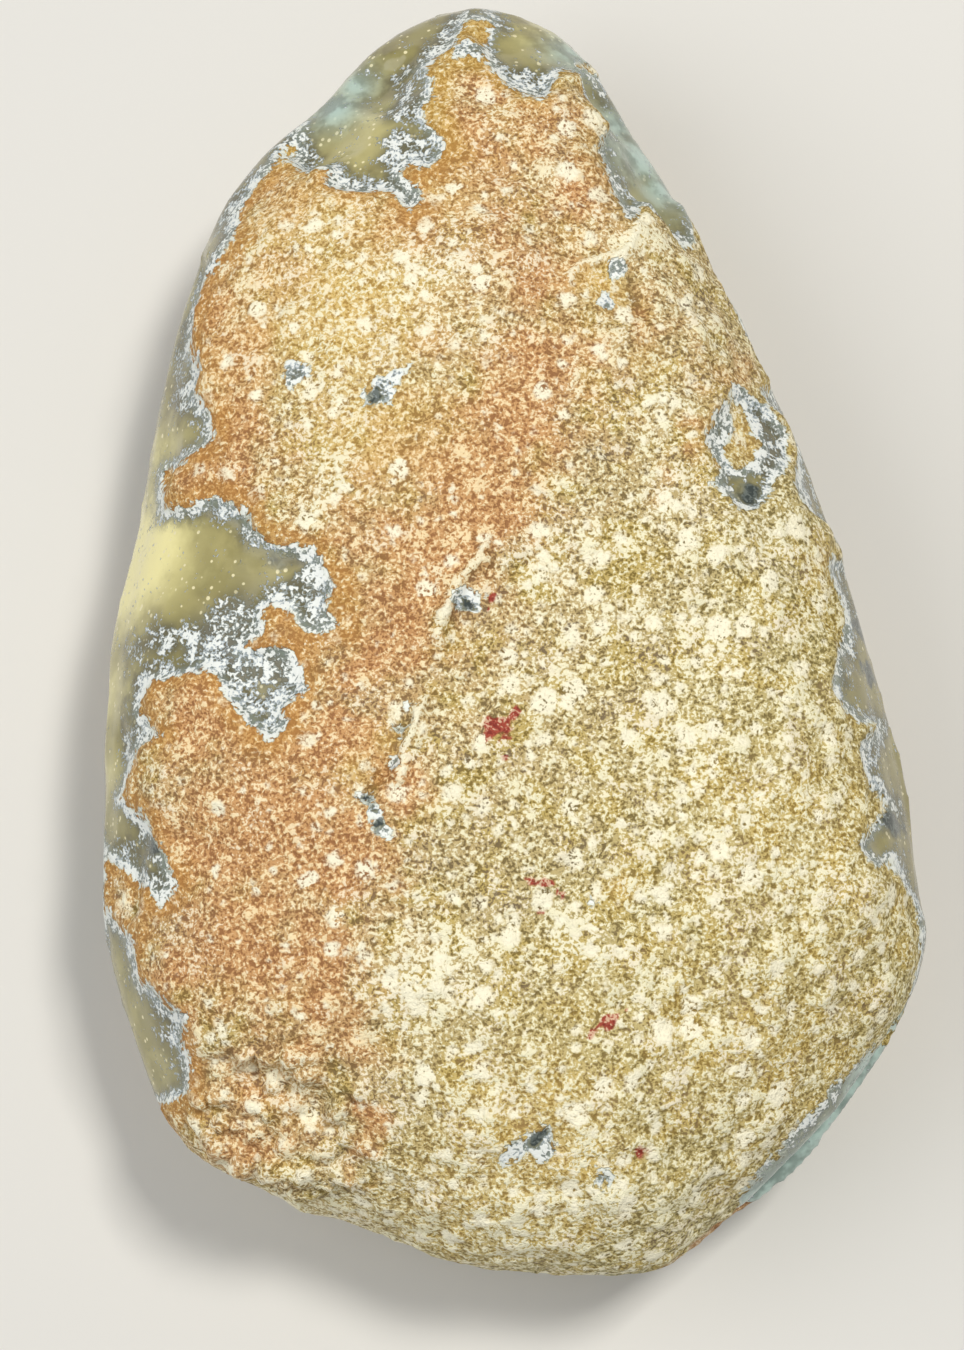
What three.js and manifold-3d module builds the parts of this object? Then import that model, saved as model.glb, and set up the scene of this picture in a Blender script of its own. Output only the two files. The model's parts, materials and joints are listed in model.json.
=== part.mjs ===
// An agate nodule in its natural rind: one pear-shaped stone that lies on its broad underside.
// Millimetres, +Z up, the blunt end at -Y and the narrow tip at +Y. The origin is on the surface
// that the stone rests on, under the middle of its bounding box.
import * as THREE from "three";
import { ImprovedNoise } from "three/addons/math/ImprovedNoise.js";
import { mergeVertices } from "three/addons/utils/BufferGeometryUtils.js";
import Module from "manifold-3d";

// Driving dimensions
const FACE_HEIGHT = 18.5; // from the rim up to the middle of the broad face
const RIM_HEIGHT = 17; // from the table up to the widest level
const BELLY_DEPTH = 17.9; // from the rim down to the belly, before the resting spot cuts it
const FACE_FLATNESS = 4; // exponent of the section above the rim: higher is flatter
const BELLY_FLATNESS = 2.5; // the same, below the rim
const TIP_THINNING = 0.3; // share of the face's height that is lost beyond the tip
const MESH_DETAIL = 13; // subdivisions of each edge of the icosahedron
const RIND_THICKNESS = 1.1; // mean depth from the rind's face down to the chalcedony
const RIND_THINNING_HEIGHT = 6; // height over the rim at which the rind has that thickness
const SEAM_STEPS = 7; // stretches along a seam
const HALF_SIZES = [40, 63, 18]; // of the ellipsoid that gives the way out of the stone
const FULLNESS = 0.25; // how much sooner the plan reaches its outline on the way up or down
const CLEARANCE = 60; // height of a column that has to pass through the whole face
const RELIEF = [
  { wavelength: 24, height: 1.3 }, // broad swells and hollows
  { wavelength: 9, height: 0.8 }, // lumps of the rind
  { wavelength: 5, height: 0.45 }, // pebbling
];

// The plan outline at the rim, anticlockwise from the right-hand side
const OUTLINE = [
  [37, -10.5], [35.4, -3.5], [33.9, 2.6], [31.7, 9.6], [28.9, 17.7], [25.1, 25.6], [20.5, 35.5],
  [16.6, 43.6], [12, 51.2], [8.5, 57.3], [4, 61.8], [-2, 63.7], [-8, 62.6], [-14, 59], [-18.5, 53.9],
  [-24.9, 47.3], [-29.3, 40.3], [-32.7, 31.2], [-35, 20.2], [-36.4, 10.3], [-38.5, 1.5], [-39.7, -8.5],
  [-39.7, -22.4], [-38.5, -33.1], [-35.8, -42], [-32.2, -49.6], [-25.9, -55.1], [-16.2, -59.1],
  [-6.1, -62.8], [5, -64], [14, -63], [20.5, -58.5], [28.1, -52.6], [34.1, -45.6], [38.4, -38.5],
  [39.8, -30.5], [38.8, -20],
];
const PLAN_CENTRE = new THREE.Vector2(0, -10.5); // every outline point is in plain sight from here

// Windows: places in plan where the rind is gone and smooth chalcedony shows. Each one opens over
// the rim, so only the side towards the middle of the face is a broken edge.
const WINDOWS = {
  besideTip: [[-20.2, 49.6], [-18.8, 46.6], [-17.4, 43.5], [-17.8, 40.7], [-15.2, 39.7], [-11.5, 39.6],
    [-9.4, 37.1], [-8.5, 38], [-8.9, 39.6], [-10.4, 41.8], [-9.5, 42.9], [-7.9, 41.8], [-6.1, 44.1],
    [-6.6, 45.8], [-9, 49.1], [-9.8, 53.5], [-7.6, 54.6], [-5.5, 56.7], [-4, 61], [-4, 70], [-26, 66],
    [-26, 55]],
  tip: [[-2.3, 61.7], [-1.8, 59.9], [-2.8, 55.5], [-0.5, 51.9], [3.2, 49.9], [4.3, 51.2], [4.9, 53.8],
    [7, 55.9], [14, 62], [6, 70], [-5, 70]],
  rightOfTip: [[8.5, 55.6], [8.7, 53.6], [9.9, 50.8], [10.3, 48], [8.6, 44.9], [9.3, 43.5], [10.8, 38.7],
    [11.3, 36.9], [12.4, 37.2], [13.3, 40.3], [17.1, 41.9], [24, 46], [16, 62]],
  leftSide: [[-45, 37], [-31.6, 37.2], [-29.6, 34.5], [-30.4, 31.1], [-31.1, 25.6], [-29.5, 22.3],
    [-30.6, 20.8], [-28.4, 17.3], [-28.3, 15.1], [-31.4, 13.3], [-33.9, 14], [-33.2, 9.4],
    [-31.9, 8.9], [-27.6, 9.1], [-24.6, 7.1], [-23.9, 5.6], [-21.7, 3.9], [-18.3, 3.7], [-17.3, 1.3],
    [-16.3, -0.2], [-16.8, -2.1], [-16, -4], [-18.9, -4.7], [-20.8, -2.4], [-22.2, -1.9], [-23.1, -2.9],
    [-22.8, -4.3], [-24.8, -5.9], [-22.3, -5.4], [-19.7, -6.7], [-18.7, -9.9], [-21.4, -11.8],
    [-20, -13.2], [-22.5, -14.6], [-24.7, -12.3], [-28.5, -7.4], [-29.6, -8.1], [-34, -8.4],
    [-34.8, -10.6], [-32.6, -13.7], [-35, -14.4], [-36.9, -18.7], [-33.8, -21.2], [-30.8, -27.5],
    [-32.6, -29.4], [-36, -26], [-38.2, -24.4], [-40.6, -21.6], [-45, -21]],
  leftBottom: [[-45, -33], [-40.6, -31], [-38.6, -28.6], [-35.3, -32.6], [-35.1, -35.8], [-30, -39.7],
    [-30.5, -41.6], [-29.6, -44.2], [-29.7, -46.5], [-33.5, -47.7], [-42, -56], [-50, -50]],
  rightUpper: [[24.3, 21], [26.9, 18.9], [28.3, 16.5], [27.6, 11.5], [28.3, 9], [30.6, 8.4], [33.4, 5.6],
    [46, 9], [36, 28], [27.2, 24.6]],
  rightLower: [[30.3, 4.3], [32.5, -0.6], [32.6, -2], [30.9, -5.3], [30.2, -9.4], [32.8, -12.1],
    [35.5, -11.6], [33.2, -13.6], [33.2, -17], [34.9, -18.7], [36.1, -19.4], [32.2, -23.9], [34.2, -25.9],
    [36.2, -24.9], [37.5, -27.6], [39.4, -28.6], [48, -33], [48, 5], [32.6, 5.2]],
  rightPit: [[21.7, 20.8], [24.8, 19.6], [27.4, 16.8], [27.1, 14.1], [24.8, 9.4], [23.3, 7.6], [21.7, 7.5],
    [19.2, 10.2], [19.8, 12], [18.4, 14.1], [19.4, 17], [20.8, 18.6]],
};

// Conchoidal chips, each a hollow of the given length along the rim, width across it and depth.
// facing is the compass direction that a chip looks in, in degrees from +X, and lift its upward tilt.
const CHIPS = [
  { at: [-15, 49.5, 25], facing: 135, lift: 48, length: 17, width: 14, depth: 2.2 }, // beside the tip
  { at: [3, 56.5, 24], facing: 80, lift: 48, length: 12, width: 9, depth: 1.3 },
  { at: [10.5, 50.5, 22], facing: 33, lift: 25, length: 13, width: 8, depth: 1.2 },
  { at: [14.8, 42.5, 24], facing: 30, lift: 40, length: 14, width: 9, depth: 1.9 },
  { at: [-33.5, 19.5, 24.5], facing: 175, lift: 35, length: 16, width: 9, depth: 1.6 }, // left rim, downwards
  { at: [-38, -13.5, 24.5], facing: 180, lift: 28, length: 15, width: 8, depth: 1.4 },
  { at: [-36.2, -26, 25.8], facing: 182, lift: 36, length: 12, width: 10, depth: 1.5 },
  { at: [-34.8, -41, 24.5], facing: 200, lift: 36, length: 15, width: 8, depth: 1.3 },
  { at: [33.6, -3, 24.8], facing: 15, lift: 35, length: 14, width: 9, depth: 1.3 }, // right rim, downwards
  { at: [36.6, -21, 25.6], facing: 5, lift: 40, length: 12, width: 9, depth: 1.4 },
  { at: [25, 12, 31.2], facing: 25, lift: 70, length: 9, width: 9, depth: 1.6 }, // the pit in the face
  { at: [-34, 20, 9], facing: 172, lift: -38, length: 24, width: 12, depth: 2.4 }, // under the rim
  { at: [-38, -24, 10], facing: 182, lift: -35, length: 22, width: 11, depth: 2 },
  { at: [22, -53, 8], facing: 308, lift: -40, length: 24, width: 12, depth: 2.6 },
  { at: [37.5, -18, 10], facing: 2, lift: -35, length: 20, width: 10, depth: 1.8 },
  { at: [26, 19, 9], facing: 22, lift: -38, length: 26, width: 12, depth: 2.4 },
  { at: [-6, 58, 9], facing: 100, lift: -40, length: 16, width: 10, depth: 2 },
];
const CHIP_WOBBLE = 0.35; // how far a chip's hollow departs from a true ellipsoid
const CHIP_DETAIL = 3; // subdivisions of the ball that cuts it
const CHIP_SUNK = 0.3; // share of that ball's depth that is inside the stone

// Ledges: everything of the stone over a slanting floor goes, outside a broken line of rind.
// floor is a point of that floor and fall the way it slopes down, by slope degrees.
const LEDGES = [
  {
    // The chalcedony shelf that stands out beyond the rind at the lower right
    edge: [[44, -33], [37.5, -37], [33, -43.5], [27.5, -49.5], [22.5, -55], [18.5, -60], [16, -68]],
    outside: [[60, -70], [60, -30]],
    floor: [29, -48.5, 15.5],
    fall: 312,
    slope: 12,
  },
  {
    // The step down to the knobbly corner at the lower left
    edge: [[-40, -47], [-30, -43.2], [-22.5, -43.2], [-17.5, -45.5], [-14.6, -50.5], [-12.8, -60],
      [-12, -70]],
    outside: [[-45, -70], [-45, -47]],
    floor: [-16.5, -46.5, 29.9],
    fall: 238,
    slope: 27,
  },
];

// Knobs of the lower left corner: rows that run down to the right, of unequal low lumps
const KNOB_ROWS = [
  { from: [-27, -45.2], to: [-18, -50.2], count: 4, radius: 2 },
  { from: [-29.8, -45.6], to: [-17.4, -54.2], count: 5, radius: 2.3 },
  { from: [-27.6, -49.6], to: [-19.6, -54.4], count: 4, radius: 2.1 },
];
const KNOB_STRAY = 0.9; // how far a knob may sit from its row
const KNOB_SHAPE = [1.25, 0.85, 0.55]; // its length, width and height as shares of its diameter
const KNOB_SUNK = 0.15; // share of its radius by which its middle is below the surface

// Seams of the face, each a line in plan with its greatest width and its height: a raised lip
// stands above the rind and a crack is sunk into it.
const SEAMS = [
  { line: [[-2.4, 3.4], [-3.1, 1.3], [-4.9, -0.5], [-6.1, -2.2], [-6.5, -5]], width: 1.8, height: 0.7 },
  { line: [[-8, -10.6], [-8.8, -14], [-10.3, -18.2]], width: 1.5, height: 0.6 },
  { line: [[-9.3, -11.4], [-10.2, -14.3], [-11.4, -17.3], [-13.3, -20.3], [-12.1, -23.6]], width: 1.7,
    height: -0.9 },
  { line: [[12.6, 36.1], [11.2, 33], [9, 32.6], [7, 31.7], [6, 30.2]], width: 1.5, height: 0.5 },
  { line: [[11.6, 32.4], [12.2, 30.5], [12.3, 28.2], [12.4, 26.2]], width: 1.2, height: -0.6 },
];

const wasm = await Module();
wasm.setup();

// A closed geometry as a solid that can be joined and cut
function solidFrom(geometry) {
  const plain = geometry.clone();
  plain.deleteAttribute("normal");
  plain.deleteAttribute("uv");
  const merged = mergeVertices(plain, 1e-3);
  return new wasm.Manifold(
    new wasm.Mesh({
      numProp: 3,
      vertProperties: new Float32Array(merged.getAttribute("position").array),
      triVerts: new Uint32Array(merged.index.array),
    }),
  );
}

function geometryFrom(solid) {
  const mesh = solid.getMesh();
  const geometry = new THREE.BufferGeometry();
  geometry.setAttribute("position", new THREE.BufferAttribute(mesh.vertProperties, 3));
  geometry.setIndex(new THREE.BufferAttribute(mesh.triVerts, 1));
  geometry.computeVertexNormals();
  return geometry;
}

// The outline as angle and reach round the plan centre, in order of angle
const polar = new THREE.CatmullRomCurve3(OUTLINE.map(([x, y]) => new THREE.Vector3(x, y, 0)), true)
  .getSpacedPoints(720)
  .slice(1)
  .map((p) => new THREE.Vector2(p.x, p.y).sub(PLAN_CENTRE))
  .map((v) => ({ angle: v.angle(), reach: v.length() }))
  .sort((a, b) => a.angle - b.angle);

function reachAt(angle) {
  const turn = 2 * Math.PI;
  const wanted = (angle + turn) % turn;
  const found = polar.findIndex((p) => p.angle > wanted);
  const next = polar[Math.max(found, 0)];
  const last = polar.at(Math.max(found, 0) - 1);
  const share = ((wanted - last.angle + turn) % turn) / ((next.angle - last.angle + turn) % turn);
  return THREE.MathUtils.lerp(last.reach, next.reach, share);
}

// Where the smooth surface lies in a direction from the middle of the rim's plane
function smoothPoint(direction) {
  const angle = Math.atan2(direction.y, direction.x);
  const level = Math.min(1, Math.hypot(direction.x, direction.y));
  const share = Math.min(1, level * (1 + FULLNESS * direction.z ** 2));
  const up = direction.z > 0;
  const bulge = Math.sqrt(1 - share ** (up ? FACE_FLATNESS : BELLY_FLATNESS));
  const reach = reachAt(angle) * share;
  const x = PLAN_CENTRE.x + reach * Math.cos(angle);
  const y = PLAN_CENTRE.y + reach * Math.sin(angle);
  const thinning = 1 - TIP_THINNING * THREE.MathUtils.smoothstep(y, 0, 90);
  const height = up ? FACE_HEIGHT * bulge * thinning : -BELLY_DEPTH * bulge;
  return new THREE.Vector3(x, y, RIM_HEIGHT + height);
}

// The way out of the stone at a point near its surface, as from an ellipsoid
function outwardFrom(p) {
  const [a, b, c] = HALF_SIZES;
  return new THREE.Vector3(p.x / a ** 2, p.y / b ** 2, (p.z - RIM_HEIGHT) / c ** 2).normalize();
}

// The chalcedony under the rind: the smooth surface, sunk by the rind's thickness. The rind thins out
// towards the rim, so that a window there runs into the side of the stone without a step.
function chalcedonyPoint(direction) {
  const p = smoothPoint(direction);
  const cover = THREE.MathUtils.smoothstep(p.z - RIM_HEIGHT, 0, RIND_THINNING_HEIGHT);
  return p.addScaledVector(outwardFrom(p), -RIND_THICKNESS * cover);
}

// The rind's face: the smooth surface with the relief on it
const noise = new ImprovedNoise();
function rindPoint(direction, raise = 0) {
  const p = smoothPoint(direction);
  let height = raise;
  for (const { wavelength, height: full } of RELIEF) {
    const q = p.clone().divideScalar(wavelength);
    height += full * noise.noise(q.x, q.y, q.z);
  }
  return p.addScaledVector(outwardFrom(p), height);
}

// A ball of triangles with every corner moved to where place puts its direction
function ballGeometry(detail, place) {
  const geometry = new THREE.IcosahedronGeometry(1, detail);
  const positions = geometry.getAttribute("position");
  for (let i = 0; i < positions.count; i++) {
    const p = place(new THREE.Vector3().fromBufferAttribute(positions, i));
    positions.setXYZ(i, p.x, p.y, p.z);
  }
  return geometry;
}

// A column on a plan outline, from the rim's height up through the face
function columnSolid(corners) {
  const shape = new THREE.Shape(corners);
  const column = new THREE.ExtrudeGeometry(shape, { depth: CLEARANCE, bevelEnabled: false });
  return solidFrom(column.translate(0, 0, RIM_HEIGHT));
}

// A squashed ball that bites to the chip's depth and meets the surface along the chip's edge
function chipGeometry({ at, facing, lift, length, width, depth }) {
  const spread = Math.sqrt(1 - (1 - CHIP_SUNK) ** 2);
  const deep = depth / CHIP_SUNK;
  const geometry = ballGeometry(CHIP_DETAIL, (v) => {
    const wobble = noise.noise(2 * v.x + at[0], 2 * v.y + at[1], 2 * v.z + at[2]);
    return v.multiplyScalar(1 + CHIP_WOBBLE * wobble);
  });
  geometry.scale(deep, length / 2 / spread, width / 2 / spread);
  geometry.translate(deep - depth, 0, 0);
  geometry.rotateY(-THREE.MathUtils.degToRad(lift));
  geometry.rotateZ(THREE.MathUtils.degToRad(facing));
  return geometry.translate(...at);
}

// The block over a ledge's slanting floor
function ledgeGeometry({ edge, outside, floor, fall, slope }) {
  const [x, y, z] = floor;
  const plan = new THREE.Shape([...edge, ...outside].map(([px, py]) => new THREE.Vector2(px - x, py - y)));
  const geometry = new THREE.ExtrudeGeometry(plan, { depth: CLEARANCE, bevelEnabled: false });
  const direction = THREE.MathUtils.degToRad(fall);
  const axis = new THREE.Vector3(-Math.sin(direction), Math.cos(direction), 0);
  geometry.applyMatrix4(new THREE.Matrix4().makeRotationAxis(axis, THREE.MathUtils.degToRad(slope)));
  return geometry.translate(x, y, z);
}

// A seam's outline in plan: pointed at both ends and broadest half way
function seamOutline(line, width) {
  const curve = new THREE.SplineCurve(line.map(([x, y]) => new THREE.Vector2(x, y)));
  const spots = curve.getSpacedPoints(SEAM_STEPS);
  const side = (i, sign) => {
    const across = curve.getTangentAt(i / SEAM_STEPS).rotateAround(new THREE.Vector2(), Math.PI / 2);
    const half = (sign * width * Math.sin((Math.PI * i) / SEAM_STEPS)) / 2;
    return spots[i].clone().addScaledVector(across, half);
  };
  const steps = [...Array(SEAM_STEPS - 1).keys()].map((i) => i + 1);
  const there = steps.map((i) => side(i, -1));
  const back = steps.reverse().map((i) => side(i, 1));
  return [spots[0], ...there, spots[SEAM_STEPS], ...back];
}

// Raises or sinks a seam: a column on its outline, kept or cut down to the rind moved by its height
function withSeam(body, { line, width, height }) {
  const seam = columnSolid(seamOutline(line, width));
  const level = solidFrom(ballGeometry(MESH_DETAIL, (v) => rindPoint(v, height)));
  return height > 0 ? body.add(seam.intersect(level)) : body.subtract(seam.subtract(level));
}

// The highest point of a solid under a place in plan
function surfaceHeight(mesh, x, y) {
  const ray = new THREE.Raycaster(new THREE.Vector3(x, y, 100), new THREE.Vector3(0, 0, -1));
  return ray.intersectObject(mesh)[0].point.z;
}

function knobGeometries(body) {
  const mesh = new THREE.Mesh(geometryFrom(body));
  const knobs = [];
  KNOB_ROWS.forEach(({ from, to, count, radius }, row) => {
    for (let i = 0; i < count; i++) {
      const share = i / (count - 1);
      const x = THREE.MathUtils.lerp(from[0], to[0], share) + KNOB_STRAY * Math.sin(5 * i + 2 * row);
      const y = THREE.MathUtils.lerp(from[1], to[1], share) + KNOB_STRAY * Math.sin(4 * i - 3 * row);
      const size = radius * (1 + 0.3 * Math.sin(7 * i + 3 * row));
      const knob = new THREE.IcosahedronGeometry(size, 1);
      knob.scale(...KNOB_SHAPE);
      knob.rotateZ(-0.5 + 0.4 * Math.sin(5 * i));
      knobs.push(knob.translate(x, y, surfaceHeight(mesh, x, y) - KNOB_SUNK * size));
    }
  });
  return knobs;
}

// Cuts the belly off level with the surface that the stone rests on
function restingCut() {
  const block = new THREE.BoxGeometry(120, 160, 20);
  return solidFrom(block.translate(0, 0, -10));
}

function agateNodule() {
  let body = solidFrom(ballGeometry(MESH_DETAIL, (v) => rindPoint(v)));
  const chalcedony = solidFrom(ballGeometry(MESH_DETAIL, chalcedonyPoint));
  for (const seam of SEAMS) body = withSeam(body, seam);
  for (const ledge of LEDGES) body = body.subtract(solidFrom(ledgeGeometry(ledge)));
  for (const knob of knobGeometries(body)) body = body.add(solidFrom(knob));
  for (const corners of Object.values(WINDOWS)) {
    const opening = columnSolid(corners.map(([x, y]) => new THREE.Vector2(x, y)));
    body = body.subtract(opening.subtract(chalcedony));
  }
  for (const chip of CHIPS) body = body.subtract(solidFrom(chipGeometry(chip)));
  body = body.subtract(restingCut());
  const geometry = geometryFrom(body);
  geometry.computeBoundingBox();
  const middle = geometry.boundingBox.getCenter(new THREE.Vector3());
  return geometry.translate(-middle.x, -middle.y, 0);
}

const rind = new THREE.MeshStandardMaterial({ color: 0xd8c494, roughness: 0.8, metalness: 0 });
const stone = new THREE.Mesh(agateNodule(), rind);
stone.name = "agate_nodule";

const nodule = new THREE.Group();
nodule.add(stone);

export default nodule;
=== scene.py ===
# %% [markdown]
# # An agate nodule in its rind
# This notebook dresses a packed agate nodule: a pear-shaped stone, 127 mm long, that lies on its belly.
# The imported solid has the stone's form, its chips and its ledges. Here it gets the fine grain of its
# cream and rust rind, and the look of the smooth olive chalcedony where the rind has broken away.
# One piece of geometry and one material do it all, because the real stone is one piece too.

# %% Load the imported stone
import json
import math
import bpy
import numpy as np
from mathutils import Matrix, Vector, kdtree, noise

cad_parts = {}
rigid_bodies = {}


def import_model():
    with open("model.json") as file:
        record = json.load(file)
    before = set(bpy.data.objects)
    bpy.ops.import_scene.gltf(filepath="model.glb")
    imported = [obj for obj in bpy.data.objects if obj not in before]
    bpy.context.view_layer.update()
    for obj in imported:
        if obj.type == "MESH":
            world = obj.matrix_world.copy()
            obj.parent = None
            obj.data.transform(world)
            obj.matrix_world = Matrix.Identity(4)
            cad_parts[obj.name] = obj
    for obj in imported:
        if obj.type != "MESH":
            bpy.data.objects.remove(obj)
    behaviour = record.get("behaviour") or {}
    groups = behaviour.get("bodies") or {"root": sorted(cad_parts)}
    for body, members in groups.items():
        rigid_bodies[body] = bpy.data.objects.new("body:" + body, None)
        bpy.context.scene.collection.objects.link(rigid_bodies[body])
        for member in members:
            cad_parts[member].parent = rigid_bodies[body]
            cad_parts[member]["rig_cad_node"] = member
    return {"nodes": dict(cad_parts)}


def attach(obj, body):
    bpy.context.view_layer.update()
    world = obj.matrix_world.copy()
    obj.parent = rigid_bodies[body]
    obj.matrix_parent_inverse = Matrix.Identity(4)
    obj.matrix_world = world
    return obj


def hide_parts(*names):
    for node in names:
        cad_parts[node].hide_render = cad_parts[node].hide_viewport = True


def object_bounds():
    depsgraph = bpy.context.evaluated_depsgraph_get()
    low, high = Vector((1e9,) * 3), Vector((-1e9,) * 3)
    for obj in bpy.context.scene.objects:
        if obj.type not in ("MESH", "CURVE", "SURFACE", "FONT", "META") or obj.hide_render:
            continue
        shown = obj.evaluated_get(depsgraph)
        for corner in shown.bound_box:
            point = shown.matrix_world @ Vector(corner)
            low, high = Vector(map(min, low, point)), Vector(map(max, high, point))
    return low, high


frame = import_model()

cad_low, cad_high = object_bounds()
cad_size_mm = [round(1000 * side, 1) for side in cad_high - cad_low]
print("packed stone, mm:", cad_size_mm)

# %% [markdown]
# ## The camera
# The stone is seen square on to its broad face, as a collector photographs a specimen from above.
# A camera is a place, a direction and a lens, so those three are worked out here. The lens is a long one
# at about 0.3 m, which keeps the rim of the stone from spreading. The direction leans 10 degrees from the
# vertical, so a little of the near end shows.

# %% Place the camera
MM = 0.001
CAMERA_TARGET_MM = Vector((-3.1, -5.7, 18.0))
CAMERA_DISTANCE_MM = 294
CAMERA_ELEVATION = math.radians(80)
LENS_MM = 80
SENSOR_HEIGHT_MM = 36
NEAREST_SEEN_M = 0.01

view_back = Vector((0, -math.cos(CAMERA_ELEVATION), math.sin(CAMERA_ELEVATION)))
bpy.ops.object.camera_add()
camera = bpy.context.active_object
camera.name = "specimen_camera"
camera.location = (CAMERA_TARGET_MM + view_back * CAMERA_DISTANCE_MM) * MM
camera.rotation_euler = (math.pi / 2 - CAMERA_ELEVATION, 0, 0)
camera.data.lens = LENS_MM
camera.data.sensor_fit = "VERTICAL"
camera.data.sensor_height = SENSOR_HEIGHT_MM
camera.data.clip_start = NEAREST_SEEN_M
bpy.context.scene.camera = camera
print("camera at", [round(v, 3) for v in camera.location])

# %% [markdown]
# ## Light
# The stone was seen in high sun, which lights its whole face evenly and leaves only a narrow shadow along
# one side. So the key lamp is a small softbox high above, a little to the right and towards the tip. A
# softbox is an area lamp, and the larger it is, the softer its shadows. The fill is a large one on the
# left, so that the shaded side keeps its colour.

# %% Add the lamps
LAMP_TARGET_MM = (0, 0, 18)


def aim(obj, place_mm, target_mm):
    """Puts a lamp at a place and points its -Z axis at the target."""
    obj.location = Vector(place_mm) * MM
    direction = Vector(target_mm) - Vector(place_mm)
    obj.rotation_euler = direction.to_track_quat("-Z", "Y").to_euler()


def softbox(name, place_mm, side_mm, watts, colour):
    """Adds a square area lamp that shines at the middle of the stone."""
    bpy.ops.object.light_add(type="AREA")
    lamp = bpy.context.active_object
    lamp.name = name
    lamp.data.size = side_mm * MM
    lamp.data.energy = watts
    lamp.data.color = colour
    aim(lamp, place_mm, LAMP_TARGET_MM)
    return lamp


KEY = softbox("key_softbox", place_mm=(190, 130, 640), side_mm=130, watts=2.65,
              colour=(1.0, 0.98, 0.94))
FILL = softbox("fill_softbox", place_mm=(-520, -60, 540), side_mm=600, watts=2.3,
               colour=(0.96, 0.98, 1.0))
print("lamps:", KEY.name, FILL.name)

# %% [markdown]
# ## World and floor
# A pale world lifts the deepest shadows a little, as an open sky does, and a plain floor catches the
# stone's shadow. The Standard view transform is used, because it shows a paint's hex value as it is
# written.

# %% Add the world and the floor
WORLD_COLOUR = (0.92, 0.95, 1.0, 1)
WORLD_STRENGTH = 0.30
FLOOR_SIDE_M = 6

world = bpy.data.worlds.new("pale_studio")
world.use_nodes = True
world.node_tree.nodes["Background"].inputs["Color"].default_value = WORLD_COLOUR
world.node_tree.nodes["Background"].inputs["Strength"].default_value = WORLD_STRENGTH
bpy.context.scene.world = world
bpy.context.scene.view_settings.view_transform = "Standard"
bpy.context.scene.view_settings.look = "None"

bpy.ops.object.select_all(action="DESELECT")
bpy.ops.mesh.primitive_plane_add(size=FLOOR_SIDE_M)
floor = bpy.context.active_object
floor.name = "studio_floor"
print("floor:", floor.name, "world strength:", WORLD_STRENGTH)

# %% [markdown]
# ## Small helpers
# Colours are written as hex values, as a paint chart gives them, and turned to the linear values that
# the shader works in. Places on the stone are in millimetres, as they are measured on it.

# %% Colour and selection helpers
def linear(hex_value):
    """A hex colour such as "8A8258" as the linear colour that Blender's nodes take, by the sRGB curve."""
    channels = []
    for i in (0, 2, 4):
        c = int(hex_value[i:i + 2], 16) / 255
        channels.append(c / 12.92 if c <= 0.04045 else ((c + 0.055) / 1.055) ** 2.4)
    return (*channels, 1.0)


def select_only(obj):
    """Makes one object the selected and active one, which most operators work on."""
    bpy.ops.object.select_all(action="DESELECT")
    obj.select_set(True)
    bpy.context.view_layer.objects.active = obj


print("olive 8A8258 in linear light:", [round(channel, 3) for channel in linear("8A8258")])

# %% [markdown]
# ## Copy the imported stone
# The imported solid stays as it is, and a copy of it is dressed. Its facets come apart at their edges when
# they are loaded, so the copy's points that lie in one place are welded first.

# %% Copy and weld the stone
WELD_DISTANCE_M = 0.00001
select_only(frame["nodes"]["agate_nodule"])
bpy.ops.object.duplicate()
stone = bpy.context.active_object
stone.name = "agate_stone"
stone.data.name = "agate_stone"
del stone["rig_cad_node"]

bpy.ops.object.mode_set(mode="EDIT")
bpy.ops.mesh.select_all(action="SELECT")
bpy.ops.mesh.remove_doubles(threshold=WELD_DISTANCE_M)
bpy.ops.object.mode_set(mode="OBJECT")
print("welded copy:", len(stone.data.vertices), "points")

# %% [markdown]
# ## A fine, even skin
# The solid has about 9,800 facets, too few for grain. The voxel remesh gives the copy even squares, so
# every part of the stone has the same fineness. Then the upper side, which is seen closest, is divided
# once more, and a little smoothing takes the remesh's stairs away. The step is about as small as it can
# be with the whole below 200,000 triangles.

# %% Remesh the stone
SKIN_STEP_MM = 0.84
FACES_UP = 0.25  # a face whose normal has more than this upwards counts as the upper side

skin = stone.modifiers.new("even_skin", "REMESH")
skin.mode = "VOXEL"
skin.voxel_size = SKIN_STEP_MM * MM
bpy.ops.object.modifier_apply(modifier=skin.name)

upward = np.zeros(3 * len(stone.data.polygons))
stone.data.polygons.foreach_get("normal", upward)
stone.data.polygons.foreach_set("select", upward.reshape(-1, 3)[:, 2] > FACES_UP)
bpy.ops.object.mode_set(mode="EDIT")
bpy.ops.mesh.select_mode(type="FACE")
bpy.ops.mesh.subdivide(number_cuts=1)
bpy.ops.mesh.select_all(action="SELECT")
bpy.ops.mesh.vertices_smooth(factor=0.5, repeat=3)
bpy.ops.object.mode_set(mode="OBJECT")
triangles = sum(len(p.vertices) - 2 for p in stone.data.polygons)
print("skin:", len(stone.data.vertices), "points,", triangles, "triangles")

# %% [markdown]
# ## Where the rind is gone
# Each window in the rind is an outline on the broad face, in millimetres. The large ones are cut into the
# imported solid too. Three small ones, at the tip and along the upper left rim, are only colour, and so are
# the two islands of rind. The low shelf is a ledge of the solid.

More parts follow.
